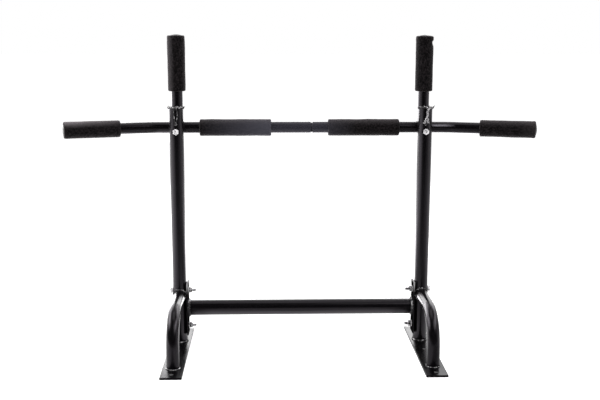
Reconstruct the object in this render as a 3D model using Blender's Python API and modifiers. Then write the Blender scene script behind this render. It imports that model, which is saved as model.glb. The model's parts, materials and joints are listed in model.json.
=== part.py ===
"""A wall-mounted pull-up bar, modelled as it stands on its two wall plates.

Units are metres, and +Z points away from the wall. +X runs along the pull-up bar, and the curved braces
are on the -Y side. The origin is at the middle of the plates' undersides, which are at Z = 0.

Run it with: blender --background --python part.py
"""

import math

import bmesh
import bpy
from mathutils import Matrix, Vector

# Clearances
TOUCH_GAP = 0.0003
BOLT_HOLE_CLEARANCE = 0.0005

# Arms, the two long tubes that stand out from the wall
ARM_SPACING = 0.600
ARM_DIAMETER = 0.035
ARM_WALL = 0.002
ARM_LENGTH = 0.5817
NOTCH_WIDTH = 0.0128
NOTCH_ABOVE_BAR_AXIS = 0.0132
NOTCH_OVER_RIM = 0.002
END_PLUG_WALL = 0.002
END_PLUG_TOP = 0.003
END_PLUG_BELOW_BOLT = 0.020

# Braces, from the plates up and back to the arms
BRACE_DIAMETER = 0.030
BRACE_WALL = 0.002
BRACE_REACH = 0.198
BRACE_HEIGHT = 0.1245
BRACE_BEND_RADIUS = 0.078

# Wall plates
PLATE_WIDTH = 0.050
PLATE_THICKNESS = 0.005
PLATE_CORNER_RADIUS = 0.002
PLATE_BEYOND_BRACE = 0.062
PLATE_BEYOND_ARM = 0.100
SCREW_HOLE_DIAMETER = 0.010
SCREW_HOLE_TO_END = 0.020

# Cross tube with an end flange at each arm
CROSS_TUBE_DIAMETER = 0.038
CROSS_TUBE_WALL = 0.002
CROSS_TUBE_HEIGHT = 0.0905
FLANGE_THICKNESS = 0.0035
FLANGE_SIDE_MARGIN = 0.0010
FLANGE_END_MARGIN = 0.021
FLANGE_CORNER_RADIUS = 0.004
FLANGE_BOLT_FROM_TUBE = 0.0260

# Pull-up bar in two halves, and the stems that stand on it
BAR_DIAMETER = 0.028
BAR_WALL = 0.002
BAR_BELOW_ARM_TOP = 0.0512
BAR_BEND_BEYOND_ARM = 0.058
BAR_BEND_ANGLE = math.radians(17.3)
BAR_BEND_RADIUS = 0.100
BAR_END_BARE_LENGTH = 0.0818
BAR_SEAM_X = 0.0264
BAR_SEAM_GAP = 0.0006
SLEEVE_LENGTH = 0.120
SLEEVE_WALL = 0.002
STEM_BARE_ABOVE_ARM = 0.0373

# Foam grips and end caps
FOAM_THICKNESS = 0.0057
FOAM_CORNER_RADIUS = 0.003
OUTER_FOAM_LENGTH = 0.133
INNER_FOAM_LENGTH = 0.174
FOAM_OVER_TUBE_END = 0.0005
LEFT_INNER_FOAM_FROM_ARM = 0.0538
RIGHT_INNER_FOAM_FROM_ARM = 0.0590
CAP_DOME_HEIGHT = 0.0027
CAP_PLUG_LENGTH = 0.012
CAP_PLUG_WALL = 0.0015

# Fasteners
BOLT_DIAMETER = 0.008
HEX_ACROSS_FLATS = 0.013
BOLT_HEAD_HEIGHT = 0.0053
NUT_HEIGHT = 0.0065
WASHER_DIAMETER = 0.016
WASHER_THICKNESS = 0.0016
SADDLE_WASHER_DIAMETER = 0.020
SADDLE_WASHER_THICKNESS = 0.0015
BAR_BOLT_BELOW_BAR_AXIS = 0.0056
BAR_BOLT_PAST_NUT = 0.0065
FLANGE_BOLT_PAST_NUT = 0.0102

# Facets round each kind of round piece, and along each bend and rounded end
TUBE_SIDES = 24
FOAM_SIDES = 24
SMALL_SIDES = 16
BRACE_BEND_STEPS = 8
BAR_BEND_STEPS = 4
ROUND_END_STEPS = 2
DOME_STEPS = 4
NOTCH_STEPS = 8
CORNER_STEPS = 3
TURN_MERGE_DISTANCE = 0.00001

# Sizes that follow from the ones above
ARM_RADIUS = ARM_DIAMETER / 2
BAR_RADIUS = BAR_DIAMETER / 2
BRACE_RADIUS = BRACE_DIAMETER / 2
CROSS_TUBE_RADIUS = CROSS_TUBE_DIAMETER / 2
BOLT_RADIUS = BOLT_DIAMETER / 2
BOLT_HOLE_RADIUS = BOLT_RADIUS + BOLT_HOLE_CLEARANCE
PLATE_LENGTH = PLATE_BEYOND_BRACE + BRACE_REACH + PLATE_BEYOND_ARM
ARM_Y = PLATE_LENGTH / 2 - PLATE_BEYOND_ARM
ARM_BASE_Z = PLATE_THICKNESS + TOUCH_GAP
ARM_TOP_Z = ARM_BASE_Z + ARM_LENGTH
BAR_Z = ARM_TOP_Z - BAR_BELOW_ARM_TOP
BAR_BEHIND_ARM = ARM_RADIUS + TOUCH_GAP + BAR_RADIUS
BAR_BOLT_Z = BAR_Z - BAR_BOLT_BELOW_BAR_AXIS
FLANGE_BOLT_OFFSET = CROSS_TUBE_RADIUS + FLANGE_BOLT_FROM_TUBE
FOAM_INNER_RADIUS = BAR_RADIUS + TOUCH_GAP
FOAM_RADIUS = FOAM_INNER_RADIUS + FOAM_THICKNESS
BAR_END_LENGTH = BAR_END_BARE_LENGTH + OUTER_FOAM_LENGTH - FOAM_OVER_TUBE_END
STEM_LENGTH = (BAR_BELOW_ARM_TOP + STEM_BARE_ABOVE_ARM + OUTER_FOAM_LENGTH
               - FOAM_OVER_TUBE_END)
CUT_MARGIN = ARM_RADIUS

SIDES = {"left": -1, "right": 1}
INNER_FOAM_FROM_ARM = {"left": LEFT_INNER_FOAM_FROM_ARM, "right": RIGHT_INNER_FOAM_FROM_ARM}

# Finishes as colour, metallic value and roughness
FINISHES = {
    "powder_coat": ((0.018, 0.018, 0.020), 0.0, 0.32),
    "foam": ((0.030, 0.028, 0.028), 0.0, 0.92),
    "zinc": ((0.78, 0.78, 0.76), 1.0, 0.35),
    "plastic": ((0.045, 0.045, 0.047), 0.0, 0.45),
}

# Directions for pieces whose own axis is Z
ALONG_X = (0, math.pi / 2, 0)
TOWARDS_FRONT = (math.pi / 2, 0, 0)
UPRIGHT = (0, 0, 0)
# A quarter of a facet, so that no edge of a drilled tube runs through the middle of its holes
OFF_THE_EDGES = (0, 0, math.pi / TUBE_SIDES / 2)


def clear_scene():
    """Removes whatever the scene starts with."""
    for obj in list(bpy.data.objects):
        bpy.data.objects.remove(obj)


def new_collection(name):
    """A collection linked to the scene."""
    collection = bpy.data.collections.new(name)
    bpy.context.scene.collection.children.link(collection)
    return collection


def finished(obj, finish):
    """Gives an object a material of its own, and smooth shading between its sharp edges."""
    colour, metallic, roughness = FINISHES[finish]
    material = bpy.data.materials.new(f"{obj.name}_{finish}")
    material.use_nodes = True
    shader = material.node_tree.nodes["Principled BSDF"]
    shader.inputs["Base Color"].default_value = (*colour, 1)
    shader.inputs["Metallic"].default_value = metallic
    shader.inputs["Roughness"].default_value = roughness
    material.diffuse_color = (*colour, 1)
    obj.data.materials.clear()
    obj.data.materials.append(material)
    obj.data.shade_smooth()
    obj.data.set_sharp_from_angle(angle=math.radians(35))
    return obj


def placed(obj, parent, location, rotation=UPRIGHT):
    """Puts an object at a place and turn in its parent's frame."""
    obj.parent = parent
    obj.location = location
    obj.rotation_euler = rotation
    return obj


def turned(name, profile, finish, sides, ring=True):
    """A piece turned about its own Z. The profile is (radius, height) points, down the outer side.

    A ring closes back to its first point. Otherwise the profile starts and ends on the axis.
    """
    mesh = bpy.data.meshes.new(name)
    edges = [(i, i + 1) for i in range(len(profile) - 1)]
    if ring:
        edges.append((len(profile) - 1, 0))
    mesh.from_pydata([(radius, 0, height) for radius, height in profile], edges, [])
    obj = bpy.data.objects.new(name, mesh)
    PARTS.objects.link(obj)
    turn = obj.modifiers.new("Turn", "SCREW")
    turn.steps = sides
    turn.render_steps = sides
    turn.use_merge_vertices = True
    turn.merge_threshold = TURN_MERGE_DISTANCE
    return finished(obj, finish)


def tube_profile(radius, wall, length):
    """A straight tube's wall, from height 0 to its length."""
    return [(radius, length), (radius, 0), (radius - wall, 0), (radius - wall, length)]


def bent_tube(name, points, radius, wall, finish):
    """An open-ended tube along a line of points, with its wall inside the given radius."""
    curve = bpy.data.curves.new(name, "CURVE")
    curve.dimensions = "3D"
    curve.bevel_depth = radius
    curve.bevel_resolution = (TUBE_SIDES - 4) // 2
    spline = curve.splines.new("POLY")
    spline.points.add(len(points) - 1)
    for spline_point, point in zip(spline.points, points):
        spline_point.co = (*point, 1)
    path = bpy.data.objects.new(name + "_path", curve)
    PARTS.objects.link(path)
    skin = bpy.data.meshes.new_from_object(path.evaluated_get(bpy.context.evaluated_depsgraph_get()))
    obj = bpy.data.objects.new(name, skin)
    obj.matrix_world = path.matrix_world
    PARTS.objects.link(obj)
    bpy.data.objects.remove(path)
    shell = obj.modifiers.new("Wall", "SOLIDIFY")
    shell.thickness = wall
    shell.offset = -1
    shell.use_even_offset = True
    return finished(obj, finish)


def rounded_plate(name, size, corner_radius, finish):
    """A flat plate centred on its own origin, with round corners seen along Z."""
    body = bmesh.new()
    bmesh.ops.create_cube(body, size=1, matrix=Matrix.Diagonal((*size, 1)))
    upright = [edge for edge in body.edges if abs(edge.verts[0].co.z - edge.verts[1].co.z) > size[2] / 2]
    bmesh.ops.bevel(body, geom=upright, offset=corner_radius, offset_type="OFFSET", profile=0.5,
                    segments=CORNER_STEPS, affect="EDGES")
    mesh = bpy.data.meshes.new(name)
    body.to_mesh(mesh)
    body.free()
    obj = bpy.data.objects.new(name, mesh)
    PARTS.objects.link(obj)
    return finished(obj, finish)


def prism(name, radius, bottom, top, sides, collection):
    """An upright prism or cylinder between two heights, with a corner on its X axis."""
    body = bmesh.new()
    quarter = Matrix.Rotation(math.pi / 2, 4, "Z")
    middle = Matrix.Translation((0, 0, (bottom + top) / 2))
    bmesh.ops.create_cone(body, cap_ends=True, segments=sides, radius1=radius, radius2=radius,
                          depth=top - bottom, matrix=middle @ quarter)
    mesh = bpy.data.meshes.new(name)
    body.to_mesh(mesh)
    body.free()
    obj = bpy.data.objects.new(name, mesh)
    collection.objects.link(obj)
    return obj


def as_cutter(obj):
    """Hides an object that only shapes others."""
    obj.hide_render = True
    obj.display_type = "WIRE"
    return obj


def round_cutter(name, radius, bottom, top, parent, location, rotation=UPRIGHT, sides=TUBE_SIDES):
    """A cylinder that cuts, along its own Z between two heights."""
    cutter = prism(name, radius, bottom, top, sides, CUTTERS)
    return as_cutter(placed(cutter, parent, location, rotation))


def combine(obj, other, operation="DIFFERENCE"):
    """Shapes an object with another by a Boolean modifier."""
    boolean = obj.modifiers.new(other.name, "BOOLEAN")
    boolean.operation = operation
    boolean.object = other
    boolean.solver = "EXACT"
    return obj


def hex_radius():
    """From a hex head's axis to its corners."""
    return HEX_ACROSS_FLATS / 2 / math.cos(math.pi / 6)


def hex_bolt(name, length):
    """A bolt with its head above height 0 and its shank below."""
    bolt = prism(name, hex_radius(), 0, BOLT_HEAD_HEIGHT, 6, PARTS)
    shank = prism(name + "_shank", BOLT_RADIUS, -length, BOLT_HEAD_HEIGHT / 2, SMALL_SIDES, CUTTERS)
    as_cutter(placed(shank, bolt, (0, 0, 0)))
    return finished(combine(bolt, shank, "UNION"), "zinc")


def hex_nut(name):
    """A nut standing on height 0."""
    nut = prism(name, hex_radius(), 0, NUT_HEIGHT, 6, PARTS)
    hole = round_cutter(name + "_hole", BOLT_RADIUS + TOUCH_GAP, -NUT_HEIGHT, 2 * NUT_HEIGHT, nut,
                        (0, 0, 0), sides=SMALL_SIDES)
    return finished(combine(nut, hole), "zinc")


def flat_washer(name):
    """A washer standing on height 0."""
    profile = tube_profile(WASHER_DIAMETER / 2, WASHER_DIAMETER / 2 - BOLT_HOLE_RADIUS, WASHER_THICKNESS)
    return turned(name, profile, "zinc", SMALL_SIDES)


def foam_profile(length):
    """A foam sleeve's wall with rounded outer corners, from height 0 to its length."""
    corner = min(FOAM_CORNER_RADIUS, FOAM_THICKNESS / 2)
    points = []
    for centre_height, first in ((length - corner, math.pi / 2), (corner, 0)):
        for step in range(ROUND_END_STEPS + 1):
            angle = first - math.pi / 2 * step / ROUND_END_STEPS
            points.append((FOAM_RADIUS - corner + corner * math.cos(angle),
                           centre_height + corner * math.sin(angle)))
    return points + [(FOAM_INNER_RADIUS, 0), (FOAM_INNER_RADIUS, length)]


def foam_grip(name, length):
    """A foam sleeve from height 0 to its length."""
    return turned(name, foam_profile(length), "foam", FOAM_SIDES)


def cap_profile(bore_radius):
    """A low dome over height 0, with a hollow plug below it that fits the tube's bore."""
    dome_radius = (BAR_RADIUS ** 2 + CAP_DOME_HEIGHT ** 2) / (2 * CAP_DOME_HEIGHT)
    half_angle = math.asin(BAR_RADIUS / dome_radius)
    points = []
    for step in range(DOME_STEPS + 1):
        angle = half_angle * step / DOME_STEPS
        points.append((dome_radius * math.sin(angle),
                       CAP_DOME_HEIGHT - dome_radius * (1 - math.cos(angle))))
    plug_radius = bore_radius - TOUCH_GAP
    edge_thickness = CAP_PLUG_WALL / 2
    points[-1] = (BAR_RADIUS, edge_thickness)
    points.append((BAR_RADIUS, 0))
    points.append((plug_radius, 0))
    points.append((plug_radius, -CAP_PLUG_LENGTH))
    points.append((plug_radius - CAP_PLUG_WALL, -CAP_PLUG_LENGTH))
    points.append((plug_radius - CAP_PLUG_WALL, 0))
    points.append((0, 0))
    return points


def end_cap(name):
    """A push-in cap for an open end of the bar or a stem."""
    return turned(name, cap_profile(BAR_RADIUS - BAR_WALL), "plastic", SMALL_SIDES, ring=False)


def leaf_cutter(name, parent, location, length, width, depth):
    """A pointed leaf outline in the XZ plane, its middle at the location, cutting forward by its depth."""
    half_length = length / 2
    half_width = width / 2
    arc_radius = (half_length ** 2 + half_width ** 2) / (2 * half_width)
    half_angle = math.asin(half_length / arc_radius)
    outline = []
    for side in (1, -1):
        for step in range(NOTCH_STEPS):
            angle = side * (half_angle - 2 * half_angle * step / NOTCH_STEPS)
            outline.append((side * (arc_radius * math.cos(angle) - arc_radius + half_width),
                            arc_radius * math.sin(angle)))
    curve = bpy.data.curves.new(name, "CURVE")
    curve.dimensions = "2D"
    curve.fill_mode = "BOTH"
    curve.extrude = depth / 2
    spline = curve.splines.new("POLY")
    spline.points.add(len(outline) - 1)
    spline.use_cyclic_u = True
    for spline_point, point in zip(spline.points, outline):
        spline_point.co = (*point, 0, 1)
    path = bpy.data.objects.new(name + "_path", curve)
    CUTTERS.objects.link(path)
    mesh = bpy.data.meshes.new_from_object(path.evaluated_get(bpy.context.evaluated_depsgraph_get()))
    body = bmesh.new()
    body.from_mesh(mesh)
    bmesh.ops.remove_doubles(body, verts=body.verts, dist=TURN_MERGE_DISTANCE)
    bmesh.ops.recalc_face_normals(body, faces=body.faces)
    body.to_mesh(mesh)
    body.free()
    cutter = bpy.data.objects.new(name, mesh)
    cutter.matrix_world = path.matrix_world
    CUTTERS.objects.link(cutter)
    bpy.data.objects.remove(path)
    x, y, z = location
    return as_cutter(placed(cutter, parent, (x, y - depth / 2, z), TOWARDS_FRONT))


def arc(centre, start, end, radius, first_axis, second_axis, steps):
    """Points round an arc from one angle to another, in the plane of two axes."""
    points = []
    for step in range(steps + 1):
        angle = start + (end - start) * step / steps
        points.append(centre + first_axis * (radius * math.cos(angle))
                      + second_axis * (radius * math.sin(angle)))
    return points


def wall_plate(side, stand):
    """A flat steel bar with a row of screw holes, under the arm and the brace."""
    plate = rounded_plate(f"{side}_wall_plate", (PLATE_WIDTH, PLATE_LENGTH, PLATE_THICKNESS),
                          PLATE_CORNER_RADIUS, "powder_coat")
    placed(plate, stand, (0, -ARM_Y, PLATE_THICKNESS / 2))
    reach = PLATE_LENGTH / 2 - SCREW_HOLE_TO_END
    for number, y in enumerate((-reach, 0, reach), 1):
        hole = round_cutter(f"{side}_screw_hole_{number}", SCREW_HOLE_DIAMETER / 2, -PLATE_THICKNESS,
                            PLATE_THICKNESS, plate, (0, y, 0), sides=SMALL_SIDES)
        combine(plate, hole)


def arm(side, stand):
    """The round arm with its leaf-shaped notch, and the plug in its free end."""
    tube = turned(f"{side}_arm_tube", tube_profile(ARM_RADIUS, ARM_WALL, ARM_LENGTH), "powder_coat",
                  TUBE_SIDES)
    placed(tube, stand, (0, 0, ARM_BASE_Z), OFF_THE_EDGES)
    notch_bottom = BAR_Z + NOTCH_ABOVE_BAR_AXIS
    notch_top = ARM_TOP_Z + NOTCH_OVER_RIM
    middle = (0, 0, (notch_bottom + notch_top) / 2)
    combine(tube, leaf_cutter(f"{side}_notch", stand, middle, notch_top - notch_bottom, NOTCH_WIDTH,
                              ARM_RADIUS + CUT_MARGIN))
    plug_radius = ARM_RADIUS - ARM_WALL - TOUCH_GAP
    plug_bottom = BAR_BOLT_Z - END_PLUG_BELOW_BOLT - ARM_TOP_Z
    profile = [(0, 0), (plug_radius, 0), (plug_radius, plug_bottom),
               (plug_radius - END_PLUG_WALL, plug_bottom), (plug_radius - END_PLUG_WALL, -END_PLUG_TOP),
               (0, -END_PLUG_TOP)]
    plug = turned(f"{side}_arm_end_plug", profile, "powder_coat", TUBE_SIDES, ring=False)
    placed(plug, stand, (0, 0, ARM_TOP_Z), OFF_THE_EDGES)
    return tube, plug


def brace(side, stand):
    """The bent tube from the plate to the arm's front, coped to the arm's round side."""
    up = Vector((0, 0, 1))
    back = Vector((0, 1, 0))
    foot = Vector((0, -BRACE_REACH, ARM_BASE_Z))
    bend_centre = Vector((0, -BRACE_REACH + BRACE_BEND_RADIUS, BRACE_HEIGHT - BRACE_BEND_RADIUS))
    bend = arc(bend_centre, math.pi, math.pi / 2, BRACE_BEND_RADIUS, back, up, BRACE_BEND_STEPS)
    points = [foot, *bend, Vector((0, 0, BRACE_HEIGHT))]
    tube = bent_tube(f"{side}_brace_tube", points, BRACE_RADIUS, BRACE_WALL, "powder_coat")
    placed(tube, stand, (0, 0, 0))
    cope = round_cutter(f"{side}_brace_cope", ARM_RADIUS + TOUCH_GAP, -BRACE_DIAMETER, BRACE_DIAMETER,
                        stand, (0, 0, BRACE_HEIGHT))
    combine(tube, cope)


def cross_tube(root):
    """The straight tube between the two end flanges."""
    length = ARM_SPACING - ARM_DIAMETER - 2 * (FLANGE_THICKNESS + 2 * TOUCH_GAP)
    tube = turned("cross_tube", tube_profile(CROSS_TUBE_RADIUS, CROSS_TUBE_WALL, length), "powder_coat",
                  TUBE_SIDES)
    placed(tube, root, (-length / 2, ARM_Y, CROSS_TUBE_HEIGHT), ALONG_X)


def cross_flange(side, sign, stand, arm_tube):
    """An end flange with its two bolts through the arm, and their nuts and washers."""
    size = (2 * (FLANGE_BOLT_OFFSET + FLANGE_END_MARGIN), CROSS_TUBE_DIAMETER + 2 * FLANGE_SIDE_MARGIN,
            FLANGE_THICKNESS)
    flange = rounded_plate(f"{side}_cross_flange", size, FLANGE_CORNER_RADIUS, "powder_coat")
    flange_x = ARM_RADIUS + TOUCH_GAP + FLANGE_THICKNESS / 2
    placed(flange, stand, (-sign * flange_x, 0, CROSS_TUBE_HEIGHT), ALONG_X)
    washer_x = flange_x + FLANGE_THICKNESS / 2 + TOUCH_GAP
    nut_x = washer_x + WASHER_THICKNESS + TOUCH_GAP
    head_x = ARM_RADIUS + TOUCH_GAP
    bolt_length = head_x + nut_x + NUT_HEIGHT + FLANGE_BOLT_PAST_NUT
    outward = (0, sign * math.pi / 2, 0)
    inward = (0, -sign * math.pi / 2, 0)
    for level, direction in (("upper", 1), ("lower", -1)):
        z = CROSS_TUBE_HEIGHT + direction * FLANGE_BOLT_OFFSET
        name = f"{side}_{level}_flange"
        hole = round_cutter(f"{name}_hole", BOLT_HOLE_RADIUS, -CUT_MARGIN - flange_x,
                            CUT_MARGIN + flange_x, stand, (0, 0, z), ALONG_X, SMALL_SIDES)
        combine(arm_tube, hole)
        combine(flange, hole)
        placed(hex_bolt(f"{name}_bolt", bolt_length), stand, (sign * head_x, 0, z), outward)
        placed(flat_washer(f"{name}_washer"), stand, (-sign * washer_x, 0, z), inward)
        placed(hex_nut(f"{name}_nut"), stand, (-sign * nut_x, 0, z), inward)


def bar_half(side, sign, root):
    """Half of the pull-up bar, from the seam out past the arm and along its bent end."""
    along = Vector((sign, 0, 0))
    forward = Vector((0, -1, 0))
    bend_point = Vector((sign * (ARM_SPACING / 2 + BAR_BEND_BEYOND_ARM), ARM_Y + BAR_BEHIND_ARM, BAR_Z))
    tangent = BAR_BEND_RADIUS * math.tan(BAR_BEND_ANGLE / 2)
    bend_centre = bend_point - along * tangent + forward * BAR_BEND_RADIUS
    bend = arc(bend_centre, 0, BAR_BEND_ANGLE, BAR_BEND_RADIUS, -forward, along, BAR_BEND_STEPS)
    end_direction = along * math.cos(BAR_BEND_ANGLE) + forward * math.sin(BAR_BEND_ANGLE)
    end = bend_point + end_direction * BAR_END_LENGTH
    seam = Vector((BAR_SEAM_X + sign * BAR_SEAM_GAP / 2, bend_point.y, BAR_Z))
    tube = bent_tube(f"{side}_bar_half", [seam, *bend, end], BAR_RADIUS, BAR_WALL, "powder_coat")
    placed(tube, root, (0, 0, 0))
    return tube, bend_point, end, end_direction


def bar_end_pieces(side, root, bend_point, end, end_direction):
    """The foam grip and the cap on the bent end of a bar half."""
    turn = end_direction.to_track_quat("Z", "Y").to_euler()
    foam_start = bend_point + end_direction * BAR_END_BARE_LENGTH
    placed(foam_grip(f"{side}_outer_foam_grip", OUTER_FOAM_LENGTH), root, foam_start, turn)
    placed(end_cap(f"{side}_bar_end_cap"), root, end + end_direction * TOUCH_GAP, turn)


def inner_foam(side, sign, root):
    """The long foam grip between the arm and the middle of the bar."""
    start = ARM_SPACING / 2 - INNER_FOAM_FROM_ARM[side] - INNER_FOAM_LENGTH
    place = (sign * start, ARM_Y + BAR_BEHIND_ARM, BAR_Z)
    placed(foam_grip(f"{side}_inner_foam_grip", INNER_FOAM_LENGTH), root, place, (0, sign * math.pi / 2, 0))


def grip_stem(side, stand):
    """The stem that stands on the bar behind the arm, with its foam grip and cap."""
    stem = turned(f"{side}_grip_stem", tube_profile(BAR_RADIUS, BAR_WALL, STEM_LENGTH), "powder_coat",
                  TUBE_SIDES)
    placed(stem, stand, (0, BAR_BEHIND_ARM, BAR_Z))
    cope = round_cutter(f"{side}_stem_cope", BAR_RADIUS + TOUCH_GAP, -BAR_DIAMETER, BAR_DIAMETER, stem,
                        (0, 0, 0), ALONG_X)
    combine(stem, cope)
    foam_base = STEM_LENGTH + FOAM_OVER_TUBE_END - OUTER_FOAM_LENGTH
    placed(foam_grip(f"{side}_stem_foam_grip", OUTER_FOAM_LENGTH), stem, (0, 0, foam_base))
    placed(end_cap(f"{side}_stem_end_cap"), stem, (0, 0, STEM_LENGTH + TOUCH_GAP))


def saddle_washer(side, stand, hole):
    """A thin round washer curved to the arm's front, under the bar bolt's head."""
    washer = prism(f"{side}_saddle_washer", SADDLE_WASHER_DIAMETER / 2, 0, ARM_DIAMETER,
                   TUBE_SIDES, PARTS)
    placed(washer, stand, (0, 0, BAR_BOLT_Z), TOWARDS_FRONT)
    inside = ARM_RADIUS + TOUCH_GAP
    span = SADDLE_WASHER_DIAMETER
    outer = round_cutter(f"{side}_saddle_outside", inside + SADDLE_WASHER_THICKNESS, -span, span, stand,
                         (0, 0, BAR_BOLT_Z))
    inner = round_cutter(f"{side}_saddle_inside", inside, -span, span, stand, (0, 0, BAR_BOLT_Z))
    combine(washer, outer, "INTERSECT")
    combine(washer, inner)
    combine(washer, hole)
    finished(washer, "powder_coat")


def bar_bolt(side, stand, drilled):
    """The bolt through the arm, its plug and the bar, with the nut and flat washer behind."""
    head_y = -(ARM_RADIUS + SADDLE_WASHER_THICKNESS + 2 * TOUCH_GAP)
    washer_y = BAR_BEHIND_ARM + BAR_RADIUS + TOUCH_GAP
    nut_y = washer_y + WASHER_THICKNESS + TOUCH_GAP
    length = nut_y - head_y + NUT_HEIGHT + BAR_BOLT_PAST_NUT
    hole = round_cutter(f"{side}_bar_bolt_hole", BOLT_HOLE_RADIUS, -nut_y, CUT_MARGIN - head_y,
                        stand, (0, 0, BAR_BOLT_Z), TOWARDS_FRONT, SMALL_SIDES)
    for piece in drilled:
        combine(piece, hole)
    saddle_washer(side, stand, hole)
    backwards = (-math.pi / 2, 0, 0)
    placed(hex_bolt(f"{side}_bar_bolt", length), stand, (0, head_y, BAR_BOLT_Z), TOWARDS_FRONT)
    placed(flat_washer(f"{side}_bar_bolt_washer"), stand, (0, washer_y, BAR_BOLT_Z), backwards)
    placed(hex_nut(f"{side}_bar_bolt_nut"), stand, (0, nut_y, BAR_BOLT_Z), backwards)


def joint_sleeve(root):
    """The short tube inside the bar that holds the two halves in line at the seam."""
    radius = BAR_RADIUS - BAR_WALL - TOUCH_GAP
    sleeve = turned("bar_joint_sleeve", tube_profile(radius, SLEEVE_WALL, SLEEVE_LENGTH), "zinc", TUBE_SIDES)
    placed(sleeve, root, (BAR_SEAM_X - SLEEVE_LENGTH / 2, ARM_Y + BAR_BEHIND_ARM, BAR_Z), ALONG_X)


def side_frame(side, sign, root):
    """Everything on one side: plate, arm, brace, flange, stem, bar half and their small parts."""
    stand = bpy.data.objects.new(f"{side}_side", None)
    PARTS.objects.link(stand)
    placed(stand, root, (sign * ARM_SPACING / 2, ARM_Y, 0))
    wall_plate(side, stand)
    arm_tube, plug = arm(side, stand)
    brace(side, stand)
    cross_flange(side, sign, stand, arm_tube)
    half, bend_point, end, end_direction = bar_half(side, sign, root)
    bar_end_pieces(side, root, bend_point, end, end_direction)
    inner_foam(side, sign, root)
    grip_stem(side, stand)
    bar_bolt(side, stand, (arm_tube, plug, half))


clear_scene()
PARTS = new_collection("pull_up_bar")
CUTTERS = new_collection("cutters")
ROOT = bpy.data.objects.new("pull_up_bar_origin", None)
PARTS.objects.link(ROOT)
cross_tube(ROOT)
joint_sleeve(ROOT)
for side_name, side_sign in SIDES.items():
    side_frame(side_name, side_sign, ROOT)
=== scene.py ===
# %% [markdown]
# This lesson dresses a wall-mounted pull-up bar. The construction is already packed: every tube, plate,
# bolt and grip is a solid with its real size. Here each one gets the surface that the real thing shows:
# smooth powder-coated steel, welds, zinc hardware and closed-cell foam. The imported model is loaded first,
# because every later size and place is read from it.

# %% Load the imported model
import json
import math

import bmesh
import bpy
from mathutils import Matrix, Vector, noise


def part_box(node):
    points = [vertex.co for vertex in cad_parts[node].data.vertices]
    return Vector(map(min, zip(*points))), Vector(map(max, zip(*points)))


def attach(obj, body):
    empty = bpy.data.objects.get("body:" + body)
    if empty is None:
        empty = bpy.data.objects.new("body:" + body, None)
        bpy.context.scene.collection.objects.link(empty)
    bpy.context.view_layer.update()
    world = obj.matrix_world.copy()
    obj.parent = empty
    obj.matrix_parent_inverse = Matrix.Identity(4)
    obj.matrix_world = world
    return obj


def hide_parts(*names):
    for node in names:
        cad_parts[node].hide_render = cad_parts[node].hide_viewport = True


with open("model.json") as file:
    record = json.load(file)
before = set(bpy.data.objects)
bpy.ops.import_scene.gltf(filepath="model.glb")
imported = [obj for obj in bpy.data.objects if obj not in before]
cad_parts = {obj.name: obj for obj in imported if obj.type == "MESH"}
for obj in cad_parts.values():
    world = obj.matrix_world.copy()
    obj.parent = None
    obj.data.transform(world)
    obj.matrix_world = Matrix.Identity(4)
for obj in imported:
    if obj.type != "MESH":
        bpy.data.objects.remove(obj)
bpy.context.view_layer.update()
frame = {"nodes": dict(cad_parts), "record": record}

scene = bpy.context.scene
scene.view_settings.view_transform = "Standard"

# %% [markdown]
# The bar stands on its wall plates, as it would lie on a studio floor, so up in the picture is away from
# the wall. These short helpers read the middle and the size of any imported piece. The sides are the two
# mirror-image halves of the frame, and a sign tells them apart.

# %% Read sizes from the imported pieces
SIDES = {"left": -1, "right": 1}
X = Vector((1, 0, 0))
Y = Vector((0, 1, 0))
Z = Vector((0, 0, 1))
FULL_TURN = 2 * math.pi
QUARTER_TURN = math.pi / 2


def middle_of(node):
    """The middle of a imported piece's box."""
    low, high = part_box(node)
    return (low + high) / 2


def size_of(node):
    """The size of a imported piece's box."""
    low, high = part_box(node)
    return high - low


ARM_RADIUS = size_of("left_arm_tube").x / 2
BAR_RADIUS = size_of("left_grip_stem").x / 2
BRACE_RADIUS = size_of("left_brace_tube").x / 2
CROSS_TUBE_RADIUS = size_of("cross_tube").z / 2
PLATE_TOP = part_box("left_wall_plate")[1].z
FLANGE_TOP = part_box("left_cross_flange")[1].z
ARM_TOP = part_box("left_arm_tube")[1].z
ARM_X = {side: middle_of(f"{side}_arm_tube").x for side in SIDES}
ARM_Y = middle_of("left_arm_tube").y
BAR_Y = middle_of("bar_joint_sleeve").y
BAR_Z = middle_of("bar_joint_sleeve").z
CROSS_Z = middle_of("cross_tube").z
BAR_BOLT_Z = middle_of("left_bar_bolt").z
TUBE_WALL = 0.002
TOUCH_GAP = 0.0003


def on_bar(x):
    """A point on the line of the bar's straight part."""
    return Vector((x, BAR_Y, BAR_Z))


print("arm radius", round(ARM_RADIUS, 4), "bar radius", round(BAR_RADIUS, 4), "bar height", round(BAR_Z, 4))

# %% [markdown]
# Blender's node trees can be wired by hand, but a script reads better when sums look like sums. A Wire
# wraps one output socket, and arithmetic on it adds Math nodes. A Graph adds any other node from its
# type, the values or links of its sockets, and its settings, and has a few shorter names for the nodes
# that come up most. Both serve shaders and Geometry Nodes.

# %% Node helpers
class Wire:
    """An output socket that can be added, subtracted, multiplied, divided and raised."""

    def __init__(self, graph, socket):
        self.graph = graph
        self.socket = socket

    def __add__(self, other):
        return self.graph.maths("ADD", self, other)

    def __radd__(self, other):
        return self.graph.maths("ADD", other, self)

    def __sub__(self, other):
        return self.graph.maths("SUBTRACT", self, other)

    def __rsub__(self, other):
        return self.graph.maths("SUBTRACT", other, self)

    def __mul__(self, other):
        return self.graph.maths("MULTIPLY", self, other)

    def __rmul__(self, other):
        return self.graph.maths("MULTIPLY", other, self)

    def __truediv__(self, other):
        return self.graph.maths("DIVIDE", self, other)

    def __pow__(self, other):
        return self.graph.maths("POWER", self, other)


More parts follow.
